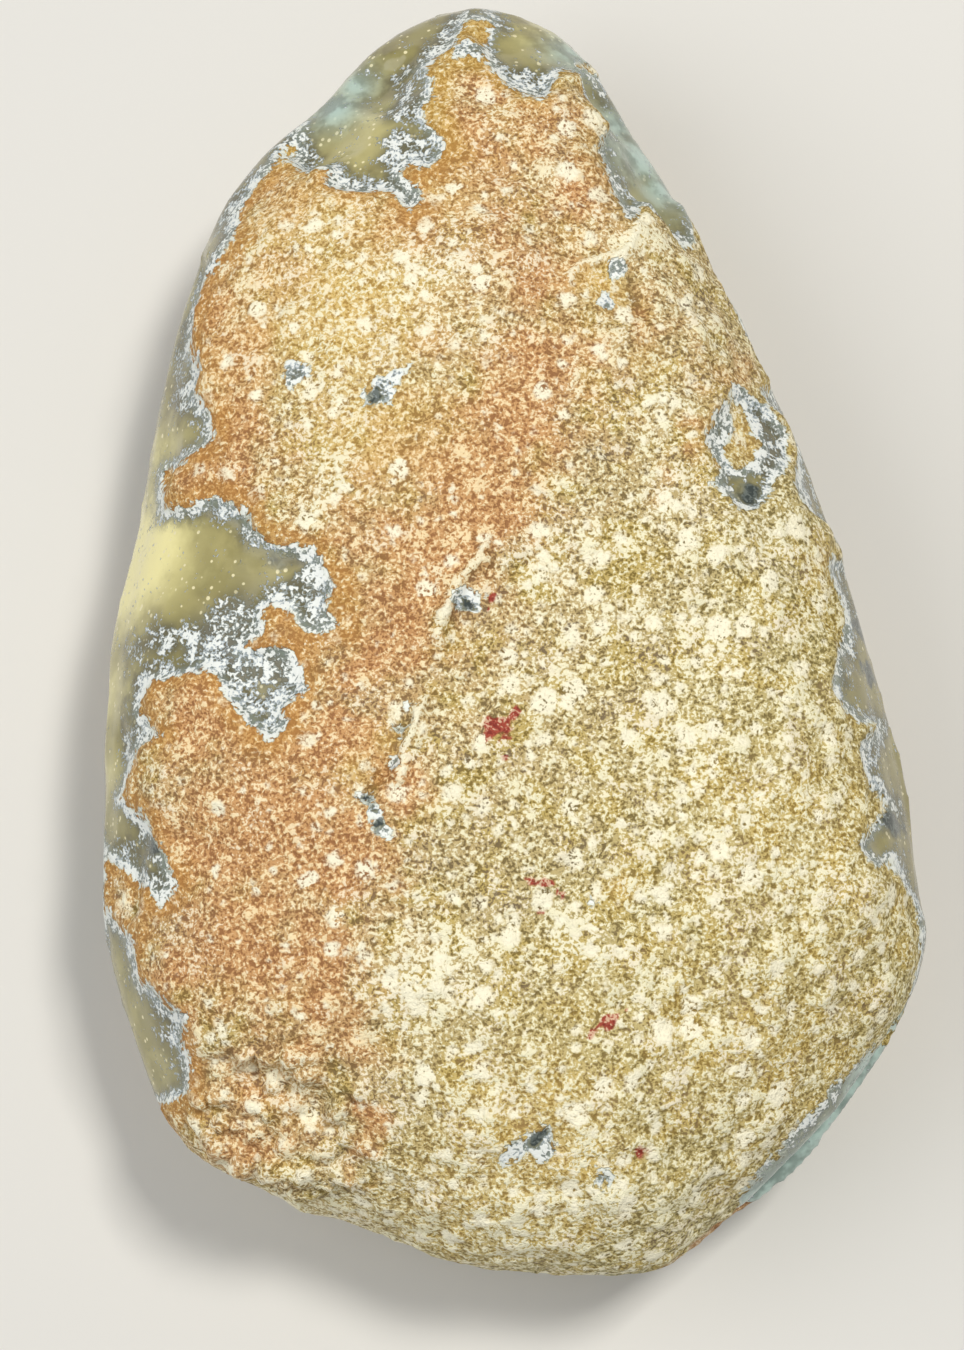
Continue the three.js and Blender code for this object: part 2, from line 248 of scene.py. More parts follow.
# %% Outlines of the windows
WINDOWS = {
    "beside_tip": [(-20.2, 49.6), (-18.8, 46.6), (-17.4, 43.5), (-17.8, 40.7), (-15.2, 39.7), (-11.5, 39.6),
                   (-9.4, 37.1), (-8.5, 38), (-8.9, 39.6), (-10.4, 41.8), (-9.5, 42.9), (-7.9, 41.8),
                   (-6.1, 44.1), (-6.6, 45.8), (-9, 49.1), (-9.8, 53.5), (-7.6, 54.6), (-5.5, 56.7),
                   (-4, 61), (-4, 70), (-26, 66), (-26, 55)],
    "tip": [(-2.3, 61.7), (-1.8, 59.9), (-2.8, 55.5), (-0.5, 51.9), (3.2, 49.9), (4.3, 51.2), (4.9, 53.8),
            (7, 55.9), (14, 62), (6, 70), (-5, 70)],
    "right_of_tip": [(8.5, 55.6), (8.7, 53.6), (9.9, 50.8), (10.3, 48), (8.6, 44.9), (9.3, 43.5),
                     (10.8, 38.7), (11.3, 36.9), (12.4, 37.2), (13.3, 40.3), (17.1, 41.9), (24, 46),
                     (16, 62)],
    "left_side": [(-45, 37), (-31.6, 37.2), (-29.6, 34.5), (-30.4, 31.1), (-31.1, 25.6), (-29.5, 22.3),
                  (-30.6, 20.8), (-28.4, 17.3), (-28.3, 15.1), (-31.4, 13.3), (-33.9, 14), (-33.2, 9.4),
                  (-31.9, 8.9), (-27.6, 9.1), (-24.6, 7.1), (-23.9, 5.6), (-21.7, 3.9), (-18.3, 3.7),
                  (-17.3, 1.3), (-16.3, -0.2), (-16.8, -2.1), (-16, -4), (-18.9, -4.7), (-20.8, -2.4),
                  (-22.2, -1.9), (-23.1, -2.9), (-22.8, -4.3), (-24.8, -5.9), (-22.3, -5.4),
                  (-19.7, -6.7), (-18.7, -9.9), (-21.4, -11.8), (-20, -13.2), (-22.5, -14.6),
                  (-24.7, -12.3), (-28.5, -7.4), (-29.6, -8.1), (-34, -8.4), (-34.8, -10.6),
                  (-32.6, -13.7), (-35, -14.4), (-36.9, -18.7), (-33.8, -21.2), (-30.8, -27.5),
                  (-32.6, -29.4), (-36, -26), (-38.2, -24.4), (-40.6, -21.6), (-45, -21)],
    "left_bottom": [(-45, -33), (-40.6, -31), (-38.6, -28.6), (-35.3, -32.6), (-35.1, -35.8), (-30, -39.7),
                    (-30.5, -41.6), (-29.6, -44.2), (-29.7, -46.5), (-33.5, -47.7), (-42, -56),
                    (-50, -50)],
    "right_upper": [(24.3, 21), (26.9, 18.9), (28.3, 16.5), (27.6, 11.5), (28.3, 9), (30.6, 8.4),
                    (33.4, 5.6), (46, 9), (36, 28), (27.2, 24.6)],
    "right_lower": [(30.3, 4.3), (32.5, -0.6), (32.6, -2), (30.9, -5.3), (30.2, -9.4), (32.8, -12.1),
                    (35.5, -11.6), (33.2, -13.6), (33.2, -17), (34.9, -18.7), (36.1, -19.4),
                    (32.2, -23.9), (34.2, -25.9), (36.2, -24.9), (37.5, -27.6), (39.4, -28.6),
                    (48, -33), (48, 5), (32.6, 5.2)],
    "right_pit": [(21.7, 20.8), (24.8, 19.6), (27.4, 16.8), (27.1, 14.1), (24.8, 9.4), (23.3, 7.6),
                  (21.7, 7.5), (19.2, 10.2), (19.8, 12), (18.4, 14.1), (19.4, 17), (20.8, 18.6)],
    "upper_left_rim": [(-20.0, 48.3), (-22.3, 46.5), (-24.8, 42.0), (-26.3, 39.9), (-26.8, 35.8),
                       (-29.0, 32.9), (-31.3, 33.5), (-32.3, 28.4), (-29.9, 23.3), (-38, 23), (-38, 34),
                       (-31, 44), (-24, 52)],
    "tip_gap": [(-5.5, 54.7), (-4.5, 55.2), (-3.7, 54.8), (-2.9, 54.2), (-1.4, 56.6), (-2.0, 58.0),
                (-3.2, 56.8), (-4.2, 57.2), (-5.3, 56.5)],
    "above_tip": [(-5, 60.4), (-1.4, 60.4), (-1.4, 70), (-5, 70)],
    "low_shelf": [(35.8, -41), (33.8, -43), (32.1, -44.3), (30.5, -45.9), (28.1, -48.5), (25.5, -51.6),
                  (22.9, -54.2), (21.1, -56), (28, -66), (50, -60), (46, -46)],
}
ISLANDS = {
    "in_right_pit": [(21, 19.4), (22.3, 19), (22.8, 17), (23.9, 15), (23.2, 12.9), (21.6, 11.8), (20.3, 13.2),
                     (20.9, 15), (21.5, 16.2)],
    "at_tip": [(-4.3, 57.2), (-4.6, 58.3), (-4.1, 59.8), (-3, 60.4), (-2, 59.7), (-2.1, 58.5),
               (-2.8, 57.6)],
}
CENTRING_MM = np.array([-0.49, -0.03])  # from the outlines' own middle to the stone's
print("windows:", list(WINDOWS))

# %% [markdown]
# ## How far a point is from an outline
# The colour changes with the distance to the nearest edge: orange rind just outside, a pale line on the
# edge, a frosted band inside it, and clear olive further in. So that distance is worked out for every
# point. It is the least distance to any side of the outline, and its sign comes from how many sides a
# line drawn from the point crosses: an odd number means that the point is inside.

# %% Distance to an outline
def distance_inside(points, outline):
    """Millimetres from each point in plan to the outline: plus inside it, minus outside it."""
    nearest = np.full(len(points), 1e9)
    inside = np.zeros(len(points), bool)
    for a, b in zip(outline, np.roll(outline, -1, axis=0)):
        along = b - a
        share = np.clip((points - a) @ along / (along @ along), 0, 1)
        gap = points - a - share[:, None] * along
        nearest = np.minimum(nearest, np.hypot(gap[:, 0], gap[:, 1]))
        spans = (a[1] > points[:, 1]) != (b[1] > points[:, 1])
        if a[1] != b[1]:
            crossing = a[0] + (points[:, 1] - a[1]) / (b[1] - a[1]) * along[0]
            inside ^= spans & (points[:, 0] < crossing)
    return np.where(inside, nearest, -nearest)


def distance_in_plan(plan, corners):
    """distance_inside, for an outline that is given by its corners about its own middle."""
    return distance_inside(plan, np.array(corners) + CENTRING_MM)


middle_of_stone = np.zeros((1, 2))
print("middle to the nearest edge of the pit, mm:",
      round(float(distance_in_plan(middle_of_stone, WINDOWS["right_pit"])[0]), 1))

# %% [markdown]
# ## Chips on the sides and underneath
# A chip is a shallow hollow that a knock leaves, and it shows chalcedony like a window does. Each one is
# given by its middle, the way it looks, and its length and width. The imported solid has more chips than
# these nine. The others lie in the windows or at their edges, and the windows' outlines colour them.

# %% Distances on the chips
FAR_MM = 12.0  # no distance is kept beyond this
CHIP_REACH_MM = 6  # how far above or below a chip's middle the skin still belongs to it
CHIPS = [
    # middle, compass direction, upward tilt, length, width
    ((-15, 49.5, 25), 135, 48, 17, 14),
    ((10.5, 50.5, 22), 33, 25, 13, 8),
    ((14.8, 42.5, 24), 30, 40, 14, 9),
    ((-34, 20, 9), 172, -38, 24, 12),
    ((-38, -24, 10), 182, -35, 22, 11),
    ((22, -53, 8), 308, -40, 24, 12),
    ((37.5, -18, 10), 2, -35, 20, 10),
    ((26, 19, 9), 22, -38, 26, 12),
    ((-6, 58, 9), 100, -40, 16, 10),
]


def chip_distance(points, middle, facing, lift, length, width):
    """Like distance_inside, for an oval on the stone's side."""
    turn = Matrix.Rotation(math.radians(facing), 3, "Z") @ Matrix.Rotation(-math.radians(lift), 3, "Y")
    offset = points - np.array([middle[0] + CENTRING_MM[0], middle[1] + CENTRING_MM[1], middle[2]])
    local = offset @ np.array(turn)
    radius = np.hypot(local[:, 1] / (length / 2), local[:, 2] / (width / 2))
    distance = (1 - radius) * width / 2
    return np.where(np.abs(local[:, 0]) < CHIP_REACH_MM, distance, -FAR_MM)


print("chips:", len(CHIPS))

# %% [markdown]
# ## Reading the skin, and noise on it
# Blender hands a whole mesh to numpy in one call, which is many times faster than a loop over its
# points. Fractal noise is what makes an edge or a stain look grown: smooth bumps, with smaller ones on
# them. smoothstep is a ramp with soft ends, for anything that fades in.

# %% Helpers for the skin
def read_points(mesh):
    """The places of a mesh's points, in millimetres."""
    points = np.zeros(3 * len(mesh.vertices))
    mesh.vertices.foreach_get("co", points)
    return points.reshape(-1, 3) / MM


def read_normals(mesh):
    normals = np.zeros(3 * len(mesh.vertices))
    mesh.vertex_normals.foreach_get("vector", normals)
    return normals.reshape(-1, 3)


def fractal(points, grain_mm, octaves=3):
    """Smooth noise of the given grain at each point, from about -1 to 1."""
    return np.array([noise.fractal(Vector(p), 0.8, 2.1, octaves) for p in points / grain_mm])


def smoothstep(low, high, value):
    """0 at low, 1 at high and a soft ramp between. It falls where low is the greater of the two."""
    t = np.clip((value - low) / (high - low), 0, 1)
    return t * t * (3 - 2 * t)


points = read_points(stone.data)
print("skin read:", len(points), "points, up to", round(float(points[:, 2].max()), 1), "mm high")

# %% [markdown]
# ## One distance for every edge
# The windows, islands and chips are joined into one number per point: above zero the point is
# chalcedony, below zero it is rind. Taking the greater of two distances joins two shapes, and taking the
# lesser cuts one by the other. An outline in plan would run straight down the flank like a curtain, so
# below the rim the points are moved by noise before they are measured, and the windows end raggedly
# above the table. Last, the rind is worn through here and there along the rim itself.

# %% Join the windows and the chips
RIM_HEIGHT_MM = 17.0
FLANK_SWAY_MM = 3.5
WINDOW_END_MM = 12  # height over the table at which the windows end on the flank
WINDOW_END_SWAY_MM = 3.5
WORN_HEIGHT_MM = 16.5  # the rim is worn through most often at this height
WORN_REACH_MM = 6

flank = smoothstep(RIM_HEIGHT_MM + 3, RIM_HEIGHT_MM - 3, points[:, 2])
sway = np.stack([fractal(points + shift, 8, 3) for shift in (15, 75)], axis=1)
swayed_plan = points[:, :2] + FLANK_SWAY_MM * flank[:, None] * sway

window = np.full(len(points), -FAR_MM)
for corners in WINDOWS.values():
    window = np.maximum(window, distance_in_plan(swayed_plan, corners))
for corners in ISLANDS.values():
    window = np.minimum(window, -distance_in_plan(swayed_plan, corners))
above_end = points[:, 2] - WINDOW_END_MM + WINDOW_END_SWAY_MM * fractal(points + 50, 11, 2)
window = np.minimum(window, 1.3 * above_end)
for chip in CHIPS:
    window = np.maximum(window, chip_distance(points, *chip))

from_worn = np.abs(points[:, 2] - WORN_HEIGHT_MM)
rim_wear = 1.0 - 0.5 * from_worn + 2.6 * fractal(points, 16, 2)
rim_wear += np.where(points[:, 0] < 0, 0.6, 0.2)
rim_wear -= 6 * smoothstep(-40, -48, points[:, 1])  # the blunt end keeps its rind
window = np.maximum(window, np.where(from_worn < WORN_REACH_MM, rim_wear, -FAR_MM))
window = np.clip(window, -FAR_MM, FAR_MM)
print("share of the skin that is chalcedony:", round(float((window > 0).mean()), 3))

# %% [markdown]
# ## Blots, stains and dots on the rind
# The rind is cream over ochre, with rust where iron has soaked in. A stain has no edge that could be
# drawn, so each one is a soft blot, or a few in a row: a place in plan, a radius and a strength. Noise
# breaks them up later in the material.

# %% Where the stains are
RUST = [
    # x, y, radius, strength
    (-29.9, 29.4, 4.6, 0.9), (-28.5, 23.1, 4.6, 1), (-27.7, 16.1, 4.8, 1), (-29.6, 11.5, 3.8, 1),
    (-21.6, 40.2, 4.3, 0.8), (-17, 41.2, 2.5, 0.8), (-22.8, 31.4, 5.1, 0.55), (-5.3, 43.6, 5.7, 0.7),
    (1.9, 45.7, 4.6, 0.6), (7, 39.6, 4.6, 0.7), (-3.4, 36.2, 6.4, 0.5), (2.5, 30.8, 5.9, 0.7),
    (-3.4, 50.5, 3.3, 0.9), (-10.5, 36.2, 5.1, 0.7), (3.1, 20.1, 4.6, 0.9), (0.5, 14.8, 5.6, 1),
    (-4, 8.2, 6.1, 1), (-8.1, 1.7, 6.4, 1), (-11.3, -4.8, 5.9, 0.9), (-10.4, 12.1, 4.6, 0.6),
    (-15.5, 4.9, 3.8, 0.6), (-15.9, -14.4, 5.6, 1), (-22.9, -11.8, 7.6, 1), (-29.2, -11.8, 5.1, 1),
    (-22.8, -22.6, 7.6, 1), (-29.6, -25.8, 5.3, 1), (-17.1, -25.8, 6.4, 0.9), (-25.1, -33.3, 6.6, 0.9),
    (-31.3, -35.7, 3.8, 0.9), (-18.3, -35.1, 5.9, 0.8), (-15.7, -41.3, 4.6, 0.8), (-20.7, -42.5, 4.6, 0.6),
    (-31.8, -42.5, 2.8, 0.8), (-11.5, -19.5, 3.8, 0.8), (11.5, 26.1, 3.8, 0.5), (20.4, 22.1, 3.8, 0.5),
    (-6.6, 24.7, 3.8, 0.4), (-24, -50, 7, 0.6), (-32, 4, 3, 0.9), (-20, -1.5, 3, 0.9),
    (-14, -49.2, 1.8, 1), (-14.4, -51.7, 1.3, 0.8), (16.7, 16.4, 1.8, 0.7), (17.4, 14.2, 1.5, 0.6),
    (14.3, 10.3, 2.2, 0.5),
]
CREAM = [
    (-16, 32, 15, 0.35), (-7.9, 30.8, 4.3, 0.8), (-6.6, 26.1, 3.3, 0.7), (-10.5, 31.4, 2.5, 0.7),
    (-17.4, 8.9, 3.3, 0.8),
    (-16.1, 11.5, 2.5, 0.6), (11.6, 34.8, 3.3, 0.6), (3.8, 40.9, 2, 0.6), (-1.4, 47.1, 1.8, 0.5),
    (15.1, 8.2, 3.3, 0.7), (24, 5.6, 3.3, 0.7), (14, 16.8, 3.8, 0.5), (3.6, 2.3, 3.8, 0.6),
    (6.2, 4.9, 2.8, 0.5), (-8, -36.4, 4.2, 0.8), (-4.4, -36.2, 3, 0.7), (-11.7, -35.5, 2, 0.4),
    (6, -33.3, 3.3, 0.6), (17.3, -25.8, 3.8, 0.4), (22.4, -19.5, 3.8, 0.4), (16.1, -15.7, 3.8, 0.4),
    (7.1, -55.3, 3.3, 0.6), (-0.3, -59.5, 3.8, 0.6), (18.8, -6.7, 3.3, 0.5), (28.5, -27, 3.3, 0.4),
    (-24, -20.7, 2, 0.5), (-19.4, -44.4, 2, 0.4), (2.3, -9.3, 2.5, 0.4), (11.2, -2.8, 3.1, 0.5),
]
RED = [
    (-1.3, -13.4, 1.2, 1.1), (-0.4, -12.3, 0.7, 1), (-2.4, -14.4, 0.7, 0.9), (-0.9, -14.7, 0.7, 0.9),
    (-2.3, -12.9, 0.6, 0.8), (-1, -16.4, 0.5, 0.8), (1.3, -28.1, 0.6, 0.6), (3.0, -28.0, 0.7, 0.9),
    (4.1, -29.2, 0.5, 0.9), (2.3, -30.5, 0.6, 0.9), (6.1, -40.5, 0.7, 0.7), (6.7, -41.5, 0.6, 0.9),
    (8.1, -40.5, 0.7, 0.7), (8.8, -40.3, 0.6, 0.8), (10.1, -39.2, 0.5, 0.9), (11.6, -52.4, 0.9, 0.8),
    (-2.2, -1.6, 0.5, 1.0), (-2.7, -2.4, 0.5, 1.0), (-3.2, -3.3, 0.4, 1.0),
]
WORN_SPOTS = [
    # x, y, radius of small places where the rind is worn through to blue-grey chalcedony
    (-21, 20.6, 1.3), (-12.6, 18.6, 1.3), (-11, 20, 1.1), (-10.2, 20.9, 0.7), (-13.9, 17.9, 0.8),
    (-4.4, -2, 1.2), (-10.1, -12, 0.55), (-10.5, -13.4, 0.6), (-10.9, -14.6, 0.4), (-11.4, -16.8, 0.5),
    (-13.6, -20, 1), (-13.1, -21.5, 0.8), (-12.4, -23, 0.9), (1.9, -51.2, 1.5), (0.2, -51.9, 0.9),
    (-1.2, -52.9, 0.6), (7.9, -54.5, 0.9), (9.8, 31.3, 1), (8.3, 27.9, 0.8), (6.8, -29.8, 0.6),
]
YELLOW = [
    (-16, 27, 9, 1), (-14, 16, 7, 0.8), (-24, 36, 5, 0.7), (-18, 37, 7, 0.8), (-8, 40, 5, 0.5),
    (-29, 22, 4, 0.4), (2, -52, 10, 0.7), (8, -40, 8, 0.3), (30, -20, 8, 0.3), (26, -25, 16, 0.35),
    (20, -42, 14, 0.4), (-4, -56, 9, 0.5), (8.4, 29.6, 2.6, 1), (10.2, 28.6, 1.6, 0.9),
    (-12.2, -14.8, 1.3, 0.8), (-14.6, -17.6, 1.6, 0.8), (9.6, -28.3, 1.8, 0.9), (12.6, 22, 2, 0.6),
    (29.5, 3, 2.2, 0.6), (-26, 4.6, 1.8, 0.5), (21.5, 15.5, 3, 1), (25.6, 21.9, 1.2, 1.2),
]
print("blots of rust, cream, red and yellow:", len(RUST), len(CREAM), len(RED), len(YELLOW))

# %% [markdown]
# ## Soak the stains in
# A blot is strongest in its middle and fades like a bell curve. The points are moved by noise before
# they are measured, which turns round blots into ragged ones: a lot for the broad rust, a little for
# small things. The underside isn't stained by place. Broad noise gives it a few patches of rust and cream.

# %% Soak the stains in
RUST_DRIFT_MM = 3.0
CREAM_DRIFT_MM = 1.2
SMALL_DRIFT_MM = 0.7


def blots(points, spots, depth_mm=0.0):
    """The strongest soft blot at each point, from 0 to about 1. Depth below the face counts as distance."""
    value = np.zeros(len(points))
    for x, y, radius, strength in spots:
        far = np.hypot(np.hypot(points[:, 0] - x, points[:, 1] - y), depth_mm) / radius
        value = np.maximum(value, strength * np.exp(-(far ** 2)))
    return value


drift = np.stack([fractal(points + shift, 7, 3) for shift in (0, 40)], axis=1)
wandering = points[:, :2] + RUST_DRIFT_MM * drift
on_face = smoothstep(RIM_HEIGHT_MM, RIM_HEIGHT_MM + 5, points[:, 2])
under = fractal(points + 90, 22, 2)
stained = blots(wandering, RUST)
to_the_right = points[:, 0] - 0.5 * points[:, 1]
soaked = 0.30 * smoothstep(35, -20, to_the_right)  # faintly, from the left and the tip
rust = on_face * (soaked + stained * (1 - soaked)) + (1 - on_face) * smoothstep(0.0, 0.7, under)
cream_places = points[:, :2] + CREAM_DRIFT_MM * drift
cream = on_face * blots(cream_places, CREAM) + (1 - on_face) * smoothstep(0.0, 0.8, -under) * 0.6
fine_drift = np.stack([fractal(points + shift, 1.6, 2) for shift in (0, 40)], axis=1)
close = points[:, :2] + SMALL_DRIFT_MM * fine_drift
red = on_face * blots(close, RED)
yellow = on_face * blots(close, YELLOW)
beside_mm = window.copy()  # only the large windows have orange rind beside them
for x, y, radius in WORN_SPOTS:
    spot = radius - np.hypot(close[:, 0] - x, close[:, 1] - y)
    window = np.maximum(window, np.where(on_face > 0.5, spot, -FAR_MM))
print("rust and cream, mean:", round(float(rust.mean()), 2), round(float(cream.mean()), 2))

# %% [markdown]
# ## Cream dots
# The rind grew as thousands of little balls, and the larger ones stand out as cream dots 1 to 3 mm
# across. They are strewn at random over the skin, closer together where the rind is cream, and each one
# raises the points around it. The seed of the random numbers is fixed, so every run gives the same
# stone. A k-d tree finds the points near a dot without a look at all the others.

# %% Strew the dots
DOT_COUNT = 1100
SMALLEST_DOT_MM = 0.4  # radius
DOT_RANGE_MM = 1.1
SMALL_DOTS = 2.6  # the higher this power, the more of the dots are small
random = np.random.default_rng(7)
skin_tree = kdtree.KDTree(len(points))
for i, p in enumerate(points):
    skin_tree.insert(p, i)
skin_tree.balance()

lower_right = smoothstep(-25, 25, to_the_right)
chance = (0.45 + 0.6 * cream + 0.9 * lower_right * on_face) * (window < -0.8)
chosen = random.choice(len(points), DOT_COUNT, replace=False, p=chance / chance.sum())
dots = np.zeros(len(points))
for i in chosen:
    radius = SMALLEST_DOT_MM + DOT_RANGE_MM * random.random() ** SMALL_DOTS
    for _, j, far in skin_tree.find_range(points[i], radius):
        dots[j] = max(dots[j], 1 - (far / radius) ** 2)
print("dots:", DOT_COUNT, "covering", round(float((dots > 0.3).mean()), 3))

# %% [markdown]
# ## Knobs of the lower left corner
# There the balls are as large as peppercorns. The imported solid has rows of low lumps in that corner.
# The larger knobs are placed one by one, as they are on the stone, and smaller ones are strewn between.

# %% Place the knobs
KNOBBLY_MM = ((-21.5, -49), 9.5)  # middle and radius of the corner
LARGE_KNOBS = [
    # x, y, radius
    (-25.1, -43.7, 1), (-23, -44, 0.9), (-20.6, -43.9, 1.2), (-19.4, -45.7, 1.3), (-22.4, -46, 1.2),
    (-20.1, -47.4, 1.4), (-23.7, -50.3, 1.2), (-15.6, -50.9, 1.1), (-17.5, -52, 1.2), (-16.3, -48.5, 1.1),
    (-27.3, -49.4, 1.1), (-27.7, -51.7, 1.5), (-25.6, -53.3, 1.3), (-21.2, -51.6, 1.3), (-18.9, -50.2, 1.1),
    (-24.6, -47.8, 1), (-26.4, -46.4, 0.9), (-22.9, -53.8, 1.2), (-19.6, -54.2, 1.2),
]
SMALL_KNOB_COUNT = 60
SMALLEST_KNOB_MM = 0.6  # radius
KNOB_RANGE_MM = 0.5
KNOB_WOBBLE_MM = 0.3

from_corner = np.hypot(*(points[:, :2] - KNOBBLY_MM[0]).T)
knobbly = on_face * smoothstep(1.0, 0.6, from_corner / KNOBBLY_MM[1])
knobs = np.zeros(len(points))
for i in random.choice(len(points), SMALL_KNOB_COUNT, replace=False, p=knobbly / knobbly.sum()):
    radius = SMALLEST_KNOB_MM + KNOB_RANGE_MM * random.random()
    for _, j, far in skin_tree.find_range(points[i], radius):
        knobs[j] = max(knobs[j], radius * (1 - (far / radius) ** 2))
wobbled = points[:, :2] + KNOB_WOBBLE_MM * fine_drift
for x, y, radius in LARGE_KNOBS:
    far = np.hypot(wobbled[:, 0] - x, wobbled[:, 1] - y)
    knobs = np.maximum(knobs, on_face * radius * (1 - (far / radius) ** 2))
print("knobs:", len(LARGE_KNOBS) + SMALL_KNOB_COUNT, "covering", round(float((knobs > 0.3).mean()), 4))

# %% [markdown]
# ## Cracks and lips
# The rind has cracked and healed along a few lines: a sunk crack, often with a raised cream lip beside it.
# The five largest are in the imported solid too, and here they get a sharper crest. Each line has its
# width, its height, below zero for a crack, and how much paler it is than the rind around it. Where that
# paleness is below zero, it is painted shade, which darkens the cracks and the rind beside the lips and
# along the step above the knobs.

# %% Lines on the face
CRACKS = [
    # corners in plan, width, height, paleness, which below zero is painted shade
    ([(-2.8, 3.4), (-3.5, 1.5), (-5, -0.4), (-6.1, -1.8), (-6.7, -3.5), (-7.1, -5.5)], 0.7, 0.45, 0.8),
    ([(-2, 3.2), (-2.8, 1), (-4.4, -1), (-5.3, -2.4), (-5.9, -4)], 0.45, -0.3, -1),
    ([(-9.6, 2.5), (-7.9, 1.9), (-7, 0.7), (-7.2, -0.7)], 0.4, 0.2, 0.6),
    ([(-9.8, -11.4), (-10.7, -14.3), (-11.9, -17.3), (-13.6, -20)], 0.6, -0.35, -0.8),
    ([(-8.7, -10.6), (-9.5, -14), (-10.9, -18.2)], 0.55, 0.35, 0.8),
    ([(12.1, 36.1), (10.7, 33), (8.5, 32.6), (6.5, 31.7), (5.5, 30.2)], 0.55, 0.35, 0.8),
    ([(11.1, 32.4), (11.7, 30.5), (11.8, 28.2), (11.9, 26.2)], 0.5, -0.3, -1),
    ([(5.7, 22), (5.9, 20), (5.8, 18)], 0.5, 0.2, 0.6),
    ([(-23.1, -54), (-19.9, -53.7), (-17.1, -53.5), (-15.1, -54.2), (-13.3, -55.6), (-12.2, -57.2)],
     1, 0.35, 0.1),
    ([(-26, -43.2), (-22.7, -42.6), (-20.1, -42.4), (-17.5, -43.6), (-15.7, -46), (-14.9, -48)],
     0.6, -0.3, -0.9),
    ([(-13.9, -51.5), (-12.4, -52.4), (-11, -53), (-8.8, -54.7)], 0.6, 0.3, 0.5),
]


def line_profile(points, corners, width):
    """1 on the polyline, falling to 0 at the given distance from it."""
    nearest = np.full(len(points), 1e9)
    for a, b in zip(np.array(corners[:-1]), np.array(corners[1:])):
        along = b - a
        share = np.clip((points - a) @ along / (along @ along), 0, 1)
        gap = points - a - share[:, None] * along
        nearest = np.minimum(nearest, np.hypot(gap[:, 0], gap[:, 1]))
    return np.clip(1 - (nearest / width) ** 2, 0, 1)


print("lines on the face:", len(CRACKS))

# %% [markdown]
# ## Round the step above the knobs
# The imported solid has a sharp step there, which weather has rounded on the real stone. So the points
# near its line are selected, and only those are smoothed.

# %% Round the step
STEP_LINE = [(-31, -43.2), (-23, -43.2), (-18, -45.5), (-15, -50.5), (-13.8, -56)]
STEP_WIDTH_MM = 3.2
near_step = line_profile(points[:, :2], STEP_LINE, STEP_WIDTH_MM) * on_face > 0.05
select_only(stone)
bpy.ops.object.mode_set(mode="EDIT")
bpy.ops.mesh.select_mode(type="VERT")
bpy.ops.mesh.select_all(action="DESELECT")
bpy.ops.object.mode_set(mode="OBJECT")
stone.data.vertices.foreach_set("select", near_step)
bpy.ops.object.mode_set(mode="EDIT")
bpy.ops.mesh.vertices_smooth(factor=0.5, repeat=16)
bpy.ops.object.mode_set(mode="OBJECT")
print("points smoothed along the step:", int(near_step.sum()))

# %% [markdown]
# ## Raise the grain
# Now every point is moved along its normal, mostly by a fraction of a millimetre. The rind gets lumps
# of two sizes, its dots, its knobs and its cracks, and the chalcedony stays nearly smooth. The resting
# spot stays flat, because the height fades out towards the table.

# %% Move the points
LUMP_MM = 0.34
SMALL_LUMP_MM = 0.24
DOT_HEIGHT_MM = 0.20
DOT_BED_MM = 0.10  # the rind between the dots is this much lower
KNOB_STEEPNESS = 0.8  # height of a knob as a share of its radius
KNOB_BED_MM = 0.2
WINDOW_SWELL_MM = 0.07

points = read_points(stone.data)
normals = read_normals(stone.data)
rind = smoothstep(0.5, -0.5, window)
pale_lips_and_crack_shade = np.zeros(len(points))
height = rind * (LUMP_MM * fractal(points, 5.0, 2) + SMALL_LUMP_MM * fractal(points + 30, 1.9, 2))
height += rind * (DOT_HEIGHT_MM * dots - DOT_BED_MM)
height += rind * (KNOB_STEEPNESS * knobs - KNOB_BED_MM * knobbly)
height += (1 - rind) * WINDOW_SWELL_MM * fractal(points + 60, 7, 2)
# A paleness below zero darkens the rind along the line: painted shade in the cracks and beside the lips.
for corners, width, rise, lip_pale_crack_shade in CRACKS:
    profile = line_profile(close, corners, width) * on_face
    height += rise * profile
    pale_lips_and_crack_shade += lip_pale_crack_shade * profile
height *= smoothstep(0.1, 1.2, points[:, 2])
moved = points + normals * height[:, None]
moved[:, 2] = np.maximum(moved[:, 2], 0)
stone.data.vertices.foreach_set("co", (moved * MM).ravel())
stone.data.update()
print("grain from", round(float(height.min()), 2), "to", round(float(height.max()), 2), "mm")
